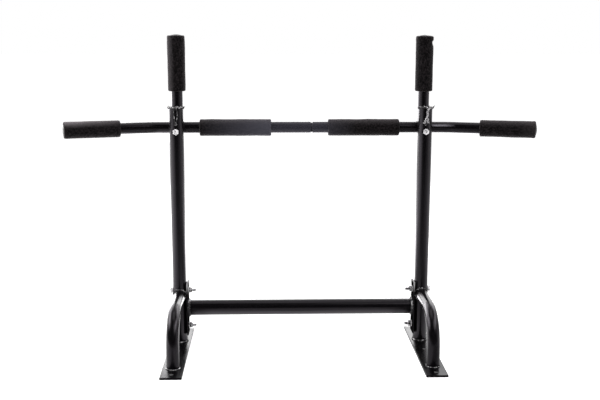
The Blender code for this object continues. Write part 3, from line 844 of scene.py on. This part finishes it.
for side, sign in SIDES.items():
    arm_x = ARM_X[side]
    brace_low, brace_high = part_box(f"{side}_brace_tube")
    seam_x = sign * (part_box("cross_tube")[1].x - CROSS_WELD_INSET)
    seed = 10 * (sign + 2)
    joints = (
        ("arm_foot", (0.0015, 0.0016, 14), ring((arm_x, ARM_Y, PLATE_TOP + SEAT), ARM_RADIUS + SEAT, X, Y)),
        ("brace_foot", (0.0014, 0.0016, 20),
         ring((arm_x, brace_low.y + BRACE_RADIUS, PLATE_TOP + SEAT), BRACE_RADIUS + SEAT, X, Y)),
        ("brace_top", (0.0019, 0.0030, 24),
         saddle((arm_x, ARM_Y, brace_high.z - BRACE_RADIUS), BRACE_RADIUS + COPE_SEAT, ARM_RADIUS + SEAT,
                Z, X, -Y)),
        ("cross", (0.0028, 0.0030, 24), ring((seam_x, ARM_Y, CROSS_Z), CROSS_TUBE_RADIUS + CROSS_SEAT, Y, Z)),
        ("stem", (0.0013, 0.0016, 14),
         saddle(on_bar(arm_x), BAR_RADIUS + COPE_SEAT, BAR_RADIUS + SEAT, X, Y, Z)),
        ("arm_rim", (0.0019, 0.0034, 24),
         ring((arm_x, ARM_Y, ARM_TOP - RIM_DROP), ARM_RADIUS - RIM_INSET, X, Y)),
    )
    for number, (joint, bead, line) in enumerate(joints):
        weld(f"{side}_{joint}_weld", bead, line, seed + number)
    for number, (azimuth, stretch, rise) in enumerate(RIM_EARS[side]):
        ray = Vector((math.sin(math.radians(azimuth)), -math.cos(math.radians(azimuth)), 0))
        foot = Vector((arm_x, ARM_Y, ARM_TOP - EAR_DROP)) + ray * (ARM_RADIUS + EAR_SEAT)
        path = [foot + (ray * stretch + Z * rise) * step / 4 for step in range(5)]
        weld(f"{side}_rim_ear_{number}", (0.0015, 0.0012, 3), path, seed + 7 + number, False)
    if side == "left":
        leaf = [on_arm(arm_x, across, NOTCH_MIDDLE + along)
                for across, along in leaf_outline(NOTCH_WIDTH - 2 * NOTCH_WELD_INSET)
                if NOTCH_MIDDLE + along < ARM_TOP]
        weld("left_notch_weld", (0.0014, 0.0022, 8), leaf, seed + 6, False)
    drip = [Vector((arm_x + DRIP_SWAY * math.sin(2.2 * step), ARM_Y - ARM_RADIUS,
                    NOTCH_BOTTOM - DRIP_STEP * step)) for step in range(6)]
    weld(f"{side}_notch_drip", (0.0015, 0.0020, 6), drip, seed + 11, False)

arm_x = ARM_X["right"]
for number, run in enumerate((NOTCH_RUN, NOTCH_FORK)):
    path = [on_arm(arm_x, across, ARM_TOP + rise, RUN_PROUD) for across, rise in run]
    weld(f"right_notch_run_{number}", (0.0025, 0.0022, 8), path, RUN_SEED + number, False, BARE_WELD)

# %% [markdown]
# The hardware is M8: hex heads with a turned chamfer and a shallow dish, nuts with chamfered corners, and
# real threads on the ends that show. A hex with a chamfer is a hex prism intersected with a cone. The
# thread is a Geometry Nodes spiral with a small three-sided section, which repeats turn by turn.

# %% Bolts, nuts and threads
HEX_FLATS = 0.013
HEX_POINTS = 60
SIXTH = math.pi / 3
HEAD_HEIGHT = 0.0053
BOLT_RADIUS = 0.004
CHAMFER = 0.0006
DISH_RADIUS = 0.0046
DISH_DEPTH = 0.0004
BORE_GAP = 0.0002
MOUTH_DEPTH = 0.0005
THREAD_PITCH = 0.00125
THREAD_LENGTH = 0.024
THREAD_STOP = 0.0012
THREAD_DEPTH = 0.0004
TOOTH_RADIUS = 0.0006


def thread_tree():
    """A screw thread along +Z from height 0."""
    graph, given = shape_tree("screw_thread", {"Turns": "Float", "Length": "Float", "Radius": "Float",
                                               "Tooth": "Float", "Material": "Material"})
    spiral = graph.add("GeometryNodeCurveSpiral", {
        "Resolution": 20, "Rotations": given["Turns"], "Start Radius": given["Radius"],
        "End Radius": given["Radius"], "Height": given["Length"]})
    return close_tree(graph, swept(graph, spiral, 3, given["Tooth"]), given["Material"])


THREAD_TREE = thread_tree()


def circle(body, count, radius, height):
    """Points of a bmesh round a circle."""
    return [body.verts.new((radius * cosine, radius * sine, height)) for cosine, sine in spokes(count)]


def bridge(body, outer, radius, height, up=False):
    """Joins a loop to a circle at a height with a band of faces, and returns the circle."""
    inner = circle(body, len(outer), radius, height)
    band(body, outer, inner, up)
    return inner


def hex_block(body, top, bottom_chamfer):
    """Adds a hex block from height 0, with its corners chamfered at the top, and below by a share."""
    corner = HEX_FLATS / 2 / math.cos(SIXTH / 2)
    cut_back = corner - HEX_FLATS / 2
    slope = 0.5 * cut_back
    loops = []
    for height, chamfer in ((0.0, bottom_chamfer), (slope, 0.0), (top - slope, 0.0), (top, 1.0)):
        loop = []
        for i, (cosine, sine) in enumerate(spokes(HEX_POINTS)):
            flat = (FULL_TURN * i / HEX_POINTS + SIXTH / 2) % SIXTH - SIXTH / 2
            radius = min(HEX_FLATS / 2 / math.cos(SIXTH / 2 - abs(flat)), corner - chamfer * cut_back)
            loop.append(body.verts.new((radius * cosine, radius * sine, height)))
        loops.append(loop)
    for lower, upper in zip(loops, loops[1:]):
        band(body, lower, upper)
    return loops[0], loops[-1]


def hex_bolt(node, place, length):
    """A hex bolt: head above height 0, shank below, with thread on the end."""
    body = bmesh.new()
    under, over = hex_block(body, HEAD_HEIGHT, 0.0)
    dish = bridge(body, over, DISH_RADIUS, HEAD_HEIGHT, True)
    body.faces.new(bridge(body, dish, DISH_RADIUS - CHAMFER, HEAD_HEIGHT - DISH_DEPTH, True))
    core = BOLT_RADIUS - CHAMFER
    thread_top = THREAD_LENGTH - length
    loop = under
    for radius, height in ((BOLT_RADIUS, 0.0), (BOLT_RADIUS, thread_top), (core, thread_top),
                           (core, CHAMFER - length), (core - CHAMFER, -length)):
        loop = bridge(body, loop, radius, height)
    body.faces.new(loop[::-1])
    reach = THREAD_LENGTH - THREAD_STOP
    thread = grown(f"{node}_thread", THREAD_TREE, {
        "Turns": reach / THREAD_PITCH, "Length": reach, "Radius": BOLT_RADIUS - THREAD_DEPTH,
        "Tooth": TOOTH_RADIUS, "Material": NUT_ZINC})
    for face in thread.data.polygons:
        face.material_index = 1
    thread.data.transform(Matrix.Translation((0, 0, THREAD_STOP - length)))
    body.from_mesh(thread.data)
    bpy.data.objects.remove(thread)
    stands_for(built(f"{node}_m8", body, ZINC, NUT_ZINC, place=place), node, slot="zinc")


def hex_nut(node, place):
    """A nut standing on height 0, with a threaded-looking bore."""
    body = bmesh.new()
    height = min(size_of(node))
    under, loop = hex_block(body, height, 1.0)
    for gap, level in ((CHAMFER, height), (BORE_GAP, height - MOUTH_DEPTH), (BORE_GAP, MOUTH_DEPTH),
                       (CHAMFER, 0.0)):
        loop = bridge(body, loop, BOLT_RADIUS + gap, level, True)
    band(body, loop, under)
    stands_for(built(f"{node}_m8", body, NUT_ZINC, place=place), node, slot="zinc")


def facing(point, direction, roll=0.0):
    """A place at a point with local +Z along a direction."""
    turn = direction.to_track_quat("Z", "X").to_matrix().to_4x4()
    return Matrix.Translation(point) @ turn @ Matrix.Rotation(roll, 4, "Z")


for side, sign in SIDES.items():
    for bolt, nut, out, bolt_roll, nut_roll in (
            ("upper_flange_bolt", "upper_flange_nut", sign * X, 0.4, 0.12),
            ("lower_flange_bolt", "lower_flange_nut", sign * X, 0.4, 0.12),
            ("bar_bolt", "bar_bolt_nut", -Y, 0.0, 0.3)):
        node = f"{side}_{bolt}"
        centre = middle_of(node)
        length = max(size_of(node))
        under_head = centre + (length / 2 - HEAD_HEIGHT) * out
        hex_bolt(node, facing(under_head, out, bolt_roll), length - HEAD_HEIGHT)
        node = f"{side}_{nut}"
        seat = centre + ((middle_of(node) - centre).dot(out) + min(size_of(node)) / 2) * out
        hex_nut(node, facing(seat, -out, nut_roll))

# %% [markdown]
# The grips are sleeves of soft foam, pushed over the tubes. Their ends are rounded by the cut, the surface
# is slightly lumpy, and near the inner ends the foam is bunched in small folds from being pushed on. The
# sleeve is turned from a profile with many steps, and noise then moves its points, so each grip differs.
# The outer ends on the right are ragged, and the right stem's grip has a torn spot.

# %% Foam grips
FOAM_SIDES = 84
FOAM_CORNER = 0.0032
FOAM_CORNER_STEPS = 5
FOAM_STEP = 0.0022
FOAM_SWELL = 0.0003
BORE_CORNER = 0.001
COARSE_LUMPS = (28, 0.00055)
FINE_LUMPS = (150, 0.00018)
FOLD_REACH = 0.020
FOLD_DEPTH = 0.0006
FOLD_TURNS = 1500
FOLD_SWAY = (60, 2.5)
RAGGED_REACH = 0.016
RAGGED_SIDE = (260, 0.0013)
RAGGED_END = (200, 0.0012)
OVER_TUBE_END = 0.0005
FOAM_INNER = BAR_RADIUS + TOUCH_GAP
FOAM_OUTER = size_of("left_stem_foam_grip").x / 2
STEM_FOAM_OUTER = FOAM_OUTER + 0.0009
SHORT_GRIP = size_of("left_stem_foam_grip").z
LONG_GRIP = size_of("left_inner_foam_grip").x
TORN_SPOT = (math.radians(-12), SHORT_GRIP - 0.0145, 0.0080, 0.0025, 0.0070, 0.0048)


def foam_profile(length, outer):
    """The outline of a sleeve's wall as (radius, height), from its top corner round to its bore."""
    straight = length - 2 * FOAM_CORNER
    count = round(straight / FOAM_STEP)

    def corner(height, start):
        angles = [start - QUARTER_TURN * step / FOAM_CORNER_STEPS for step in range(FOAM_CORNER_STEPS + 1)]
        return [(outer - FOAM_CORNER + FOAM_CORNER * math.cos(angle), height + FOAM_CORNER * math.sin(angle))
                for angle in angles]

    side = [(outer, length - FOAM_CORNER - straight * i / count) for i in range(1, count)]
    bore = [(FOAM_INNER + BORE_CORNER, 0.0), (FOAM_INNER, BORE_CORNER), (FOAM_INNER, length / 2),
            (FOAM_INNER, length - BORE_CORNER), (FOAM_INNER + BORE_CORNER, length)]
    return corner(length - FOAM_CORNER, QUARTER_TURN) + side + corner(FOAM_CORNER, 0.0) + bore


def lumpy(point, drift, lumps):
    """Smooth noise of a number of lumps per metre and a depth."""
    per_metre, depth = lumps
    return depth * noise.noise(point * per_metre + drift)


def foam_sleeve(name, node, place, length, outer, seed, folds, rough_end=0.0, bite=None):
    """A padded foam sleeve from height 0 to its length, with its outer end at the top."""
    profile = foam_profile(length, outer)
    drift = Vector((seed * 3.1, seed * 1.7, seed * 0.9))
    body = bmesh.new()
    loops = []
    for i, (cosine, sine) in enumerate(spokes(FOAM_SIDES)):
        loop = []
        for radius, height in profile:
            share = (radius - FOAM_INNER) / (outer - FOAM_INNER)
            point = Vector((radius * cosine, radius * sine, height))
            near = folds * max(0.0, 1 - height / FOLD_REACH)
            far = rough_end * max(0.0, 1 - (length - height) / RAGGED_REACH)
            fold = near * FOLD_DEPTH * math.sin(height * FOLD_TURNS + lumpy(point, drift, FOLD_SWAY))
            rise = lumpy(point, drift, COARSE_LUMPS) + lumpy(point, drift, FINE_LUMPS) + FOAM_SWELL
            moved = radius + share * (rise + fold + far * lumpy(point, drift, RAGGED_SIDE))
            lift = share * far * (lumpy(point, -drift, RAGGED_END) - RAGGED_END[1])
            if bite:
                bite_angle, bite_height, bite_width, above, below, bite_depth = bite
                apart = (FULL_TURN * i / FOAM_SIDES - bite_angle + math.pi) % FULL_TURN - math.pi
                over = height - bite_height
                drop = over / (above if over > 0 else below)
                moved -= share * bite_depth * math.exp(-(apart * outer / bite_width) ** 2 - drop ** 2)
            loop.append(body.verts.new((moved * cosine, moved * sine, min(height + lift, length))))
        loops.append(loop)
    for here, there in zip(loops, loops[1:] + loops[:1]):
        band(body, here, there)
    bmesh.ops.recalc_face_normals(body, faces=body.faces)
    foam = built(name, body, FOAM, place=place)
    stands_for(foam, node, slot="foam")


for side, sign in SIDES.items():
    seed = sign + 4
    direction, end = bar_ends[side]
    rough = 1.0 if side == "right" else 0.35
    place = facing(end + direction * (OVER_TUBE_END - SHORT_GRIP), direction)
    node = f"{side}_outer_foam_grip"
    foam_sleeve(f"{side}_outer_grip", node, place, SHORT_GRIP, FOAM_OUTER, seed, 1.0, rough)
    node = f"{side}_inner_foam_grip"
    low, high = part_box(node)
    start = on_bar(low.x if sign > 0 else high.x)
    foam_sleeve(f"{side}_inner_grip", node, facing(start, sign * X), LONG_GRIP, FOAM_OUTER, seed + 3, 0.5)
    node = f"{side}_stem_foam_grip"
    centre = middle_of(node)
    base = Matrix.Translation((centre.x, centre.y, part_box(node)[0].z))
    foam_sleeve(f"{side}_stem_grip", node, base, SHORT_GRIP, STEM_FOAM_OUTER, seed + 6, 0.3, rough,
                TORN_SPOT if side == "right" else None)

# %% [markdown]
# A moulded cap closes each open tube end inside the foam. Its dome is low, with a fine rim, and it is the
# small light spot at the ends of the grips. Crumbs of torn foam lie on the dome of the right stem's cap.

# %% End caps
CAP_STEPS = 12
CAP_SIDES = 64
DOME_HEIGHT = 0.0027
PLUG_DEPTH = 0.012
PLUG_WALL = 0.0015
FLOOR_LEVEL = -0.0005
CRUMB_LIMIT = 0.0008
CRUMB_DEPTH = 0.0009


def dome_cap(name, node, point, direction, torn=0.0):
    """A domed cap over a tube's end, with its plug in the bore, and crumbs of foam on its dome where torn."""
    sphere = (BAR_RADIUS ** 2 + DOME_HEIGHT ** 2) / (2 * DOME_HEIGHT)
    reach = math.asin(BAR_RADIUS / sphere)
    bore = BAR_RADIUS - TUBE_WALL - TOUCH_GAP
    angles = [reach * step / CAP_STEPS for step in range(1, CAP_STEPS)]
    profile = [(sphere * math.sin(angle), DOME_HEIGHT - sphere * (1 - math.cos(angle))) for angle in angles]
    profile += [(BAR_RADIUS - 0.0002, 0.0006), (BAR_RADIUS, 0.0003), (BAR_RADIUS, 0.0), (bore, 0.0),
                (bore, 0.001 - PLUG_DEPTH), (bore - 0.0006, -PLUG_DEPTH), (bore - PLUG_WALL, -PLUG_DEPTH),
                (bore - PLUG_WALL, FLOOR_LEVEL)]
    body = bmesh.new()
    top = body.verts.new((0, 0, DOME_HEIGHT))
    bottom = body.verts.new((0, 0, FLOOR_LEVEL))
    loops = [circle(body, CAP_SIDES, radius, height) for radius, height in profile]
    for vert in [vert for loop in loops for vert in loop if vert.co.z > CRUMB_LIMIT]:
        crumb = noise.noise(Vector((vert.co.x, vert.co.y, 0.0)) * 420)
        vert.co.z -= torn * CRUMB_DEPTH * (1 - crumb)
    for upper, lower in zip(loops, loops[1:]):
        band(body, lower, upper)
    for i in range(CAP_SIDES):
        j = (i + 1) % CAP_SIDES
        body.faces.new((top, loops[0][i], loops[0][j]))
        body.faces.new((loops[-1][i], bottom, loops[-1][j]))
    bmesh.ops.recalc_face_normals(body, faces=body.faces)
    cap = built(name, body, CAP_PLASTIC, place=facing(point, direction))
    stands_for(cap, node, slot="cap_plastic")


for side in SIDES:
    direction, end = bar_ends[side]
    dome_cap(f"{side}_bar_cap", f"{side}_bar_end_cap", end + direction * TOUCH_GAP, direction)
    top = Vector((middle_of(f"{side}_grip_stem").x, BAR_Y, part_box(f"{side}_grip_stem")[1].z + TOUCH_GAP))
    dome_cap(f"{side}_stem_cap", f"{side}_stem_end_cap", top, Z, 1.0 if side == "right" else 0.0)

# %% [markdown]
# The camera stands a little left of the middle, above the bar, and looks slightly down. Its place and
# focal length were worked out from the object's own edges in the photograph.

# %% Camera
CAMERA_PLACE = Vector((-0.0778, -2.1829, 0.7662))
CAMERA_YAW = 0.0333
CAMERA_PITCH = 0.1771
CAMERA_ROLL = 0.0020
FOCAL_PIXELS = 939.84
IMAGE_WIDTH = 600
SENSOR_WIDTH = 36.0

heading = Vector((math.sin(CAMERA_YAW), math.cos(CAMERA_YAW), 0))
forward = heading * math.cos(CAMERA_PITCH) - Z * math.sin(CAMERA_PITCH)
level = Vector((math.cos(CAMERA_YAW), -math.sin(CAMERA_YAW), 0))
upward = level.cross(forward)
right = level * math.cos(CAMERA_ROLL) + upward * math.sin(CAMERA_ROLL)
up = upward * math.cos(CAMERA_ROLL) - level * math.sin(CAMERA_ROLL)
camera_data = bpy.data.cameras.new("camera")
camera_data.sensor_width = SENSOR_WIDTH
camera_data.lens = FOCAL_PIXELS / IMAGE_WIDTH * SENSOR_WIDTH
camera = bpy.data.objects.new("camera", camera_data)
camera.matrix_world = Matrix.Translation(CAMERA_PLACE) @ Matrix((right, up, -forward)).transposed().to_4x4()
scene.collection.objects.link(camera)
scene.camera = camera
print("lens", round(camera_data.lens, 2), "mm")

# %% [markdown]
# The studio is white behind the object and dark behind the camera, which is why the black tubes show
# bright rims and a dark core. A Light Path node keeps the background plain white to the camera, shows
# glossy surfaces the white at the back only, and gives matt surfaces an even light from all sides. The
# floor follows the same rule, and its own shading keeps the object's shadow.

# %% Floor and world
AMBIENT = 0.10
FLOOR_GLOW = 0.66
FAR_FLOOR_GLOW = 1.0
LEFT_GLOW = 1.6
RIGHT_GLOW = 0.5
BACK_GLOW = 0.8
DARK_SIDE = 0.03
WHITE_PAPER = (0.85, 0.85, 0.85, 1)
DARK_PAPER = (0.16, 0.16, 0.16, 1)
FLOOR_HALF_WIDTH = 30
FLOOR_DROP = 0.0002


def fresh_graph(owner):
    """An empty node tree of a material or a world."""
    owner.use_nodes = True
    owner.node_tree.nodes.clear()
    return Graph(owner.node_tree)


def ray_kinds(graph):
    """Whether a ray comes from the camera, and whether it comes from a mirror or from glass."""
    seen, glossy, passed = [graph.add("ShaderNodeLightPath", output=f"Is {kind} Ray")
                            for kind in ("Camera", "Glossy", "Transmission")]
    return seen, glossy + passed


def white_floor():
    """A floor that the camera sees as white, with the object's shadow kept faint."""
    body = bmesh.new()
    bmesh.ops.create_grid(body, x_segments=1, y_segments=1, size=FLOOR_HALF_WIDTH)
    material = bpy.data.materials.new("white_floor")
    floor = built("studio_floor", body, material)
    floor.location.z = -FLOOR_DROP
    graph = fresh_graph(material)
    seen, mirrored = ray_kinds(graph)
    place = graph.add("ShaderNodeTexCoord", output="Object")
    distance = graph.add("ShaderNodeVectorMath", {0: place}, 1, operation="LENGTH")
    towards = graph.add("ShaderNodeVectorMath", {0: place}, operation="NORMALIZE")
    across = graph.axis(towards, "X")
    away = graph.axis(towards, "Y")
    white = graph.add("ShaderNodeBsdfDiffuse", {"Color": WHITE_PAPER})
    dark = graph.add("ShaderNodeBsdfDiffuse", {"Color": DARK_PAPER})
    paper = graph.add("ShaderNodeMixShader", {0: mirrored * graph.mapped(away, 0.1, -0.5), 1: white, 2: dark})
    sides = (LEFT_GLOW * graph.mapped(across, -0.5, -0.95) + RIGHT_GLOW * graph.mapped(across, 0.3, 1.0)
             + BACK_GLOW * graph.mapped(away, 0.2, 0.9))
    strength = (graph.mapped(distance, 0.8, 3.0, FLOOR_GLOW, FAR_FLOOR_GLOW) * seen
                + sides * graph.mapped(distance, 0.7, 1.3) * mirrored)
    glow = graph.add("ShaderNodeEmission", {"Color": (1, 1, 1, 1), "Strength": strength})
    lit = graph.add("ShaderNodeAddShader", {0: paper, 1: glow})
    graph.feed(graph.tree.nodes.new("ShaderNodeOutputMaterial"), {"Surface": lit})


def studio_world():
    """White to the camera, white at the back only for glossy rays, and even for matt surfaces."""
    world = bpy.data.worlds.new("studio")
    scene.world = world
    graph = fresh_graph(world)
    direction = graph.add("ShaderNodeTexCoord", output="Generated")
    behind = graph.mapped(graph.axis(direction, "Y"), 0.1, 0.7, DARK_SIDE, 1.0)
    seen, mirrored = ray_kinds(graph)
    strength = seen + (1.0 - seen) * (mirrored * behind + (1.0 - mirrored) * AMBIENT)
    light = graph.add("ShaderNodeBackground", {"Color": (1, 1, 1, 1), "Strength": strength})
    graph.feed(graph.tree.nodes.new("ShaderNodeOutputWorld"), {"Surface": light})


white_floor()
studio_world()

# %% [markdown]
# Soft boxes stand round the object, mostly behind it and at its left, each named by its direction from
# straight behind and its height in degrees. Their strengths differ, so the reflections run in stripes down
# the tubes as they do on the real coat. Cards on the floor throw light up on the undersides, and the
# brightest one, behind, makes the lines of light on the braces. All of them are hidden from the camera.
# The strengths began as fits of single-lamp renders to the photograph's brightness, made outside this
# script. Most still hold a fitted value, rounded to one decimal, and the others were changed since.

# %% Soft boxes and floor cards
TARGET = Vector((0, 0.08, 0.40))
BOX_DISTANCE = 2.4
CARD_HEIGHT = 0.0006
BACK_BOX = (1.4, 1.0)
SIDE_BOX = (1.2, 1.0)


def around(azimuth, elevation):
    """A point round the target: azimuth from straight behind towards the right, both in degrees."""
    turn, rise = math.radians(azimuth), math.radians(elevation)
    flat = math.cos(rise)
    return TARGET + BOX_DISTANCE * Vector((math.sin(turn) * flat, math.cos(turn) * flat, math.sin(rise)))


def soft_lamp(name, place, target, size, radiance, mirrored=True):
    """A rectangular lamp of an even brightness, aimed at a point and hidden from the camera."""
    data = bpy.data.lights.new(name, "AREA")
    data.shape = "RECTANGLE"
    data.size, data.size_y = size
    data.energy = radiance * math.pi * size[0] * size[1]
    lamp = bpy.data.objects.new(name, data)
    lamp.location = place
    lamp.rotation_euler = (target - place).to_track_quat("-Z", "Y").to_euler()
    lamp.visible_camera = False
    lamp.visible_glossy = mirrored
    scene.collection.objects.link(lamp)


SOFT_BOXES = (
    ("far_left_high", -70, 32, BACK_BOX, 3.8),
    ("far_left_low", -70, 8, BACK_BOX, 1.2),
    ("back_left_high", -35, 32, BACK_BOX, 2.0),
    ("back_left_low", -35, 8, BACK_BOX, 6.6),
    ("back_low", 0, 8, BACK_BOX, 2.4),
    ("back_right_high", 35, 32, BACK_BOX, 2.2),
    ("back_right_low", 35, 8, BACK_BOX, 0.8),
    ("far_right_high", 70, 32, BACK_BOX, 1.7),
    ("left_side_high", -105, 38, SIDE_BOX, 1.0),
    ("right_side_high", 105, 38, SIDE_BOX, 2.7),
    ("right_side_low", 105, 8, SIDE_BOX, 0.6),
    ("front_right_low", 135, 38, SIDE_BOX, 1.4),
    ("front_right_high", 150, 50, SIDE_BOX, 0.5),
)
FLOOR_CARDS = (
    ("back_card", -1.00, 1.00, 0.45, 1.30, 5.0),
    ("middle_card", -0.24, 0.24, -0.10, 0.45, 0.4),
    ("middle_front_card", -0.26, 0.26, -0.60, -0.10, 0.4),
    ("left_card", -0.90, -0.34, -0.30, 0.45, 0.6),
    ("left_front_card", -0.90, -0.34, -0.90, -0.30, 0.4),
)
for name, azimuth, elevation, size, radiance in SOFT_BOXES:
    soft_lamp(name, around(azimuth, elevation), TARGET, size, radiance)
soft_lamp("overhead", TARGET + BOX_DISTANCE * Z, TARGET, (1.6, 1.4), 0.8)
soft_lamp("near_left", Vector((-1.4, 0.0, 1.0)), Vector((-0.5, 0.1, 0.5)), (0.7, 0.7), 3.5)
soft_lamp("front_fill", around(180, 30), TARGET, (3.0, 1.6), 3.0, mirrored=False)
for name, left, right_edge, front, back, radiance in FLOOR_CARDS:
    place = Vector(((left + right_edge) / 2, (front + back) / 2, CARD_HEIGHT))
    soft_lamp(name, place, place + Z, (right_edge - left, back - front), radiance)
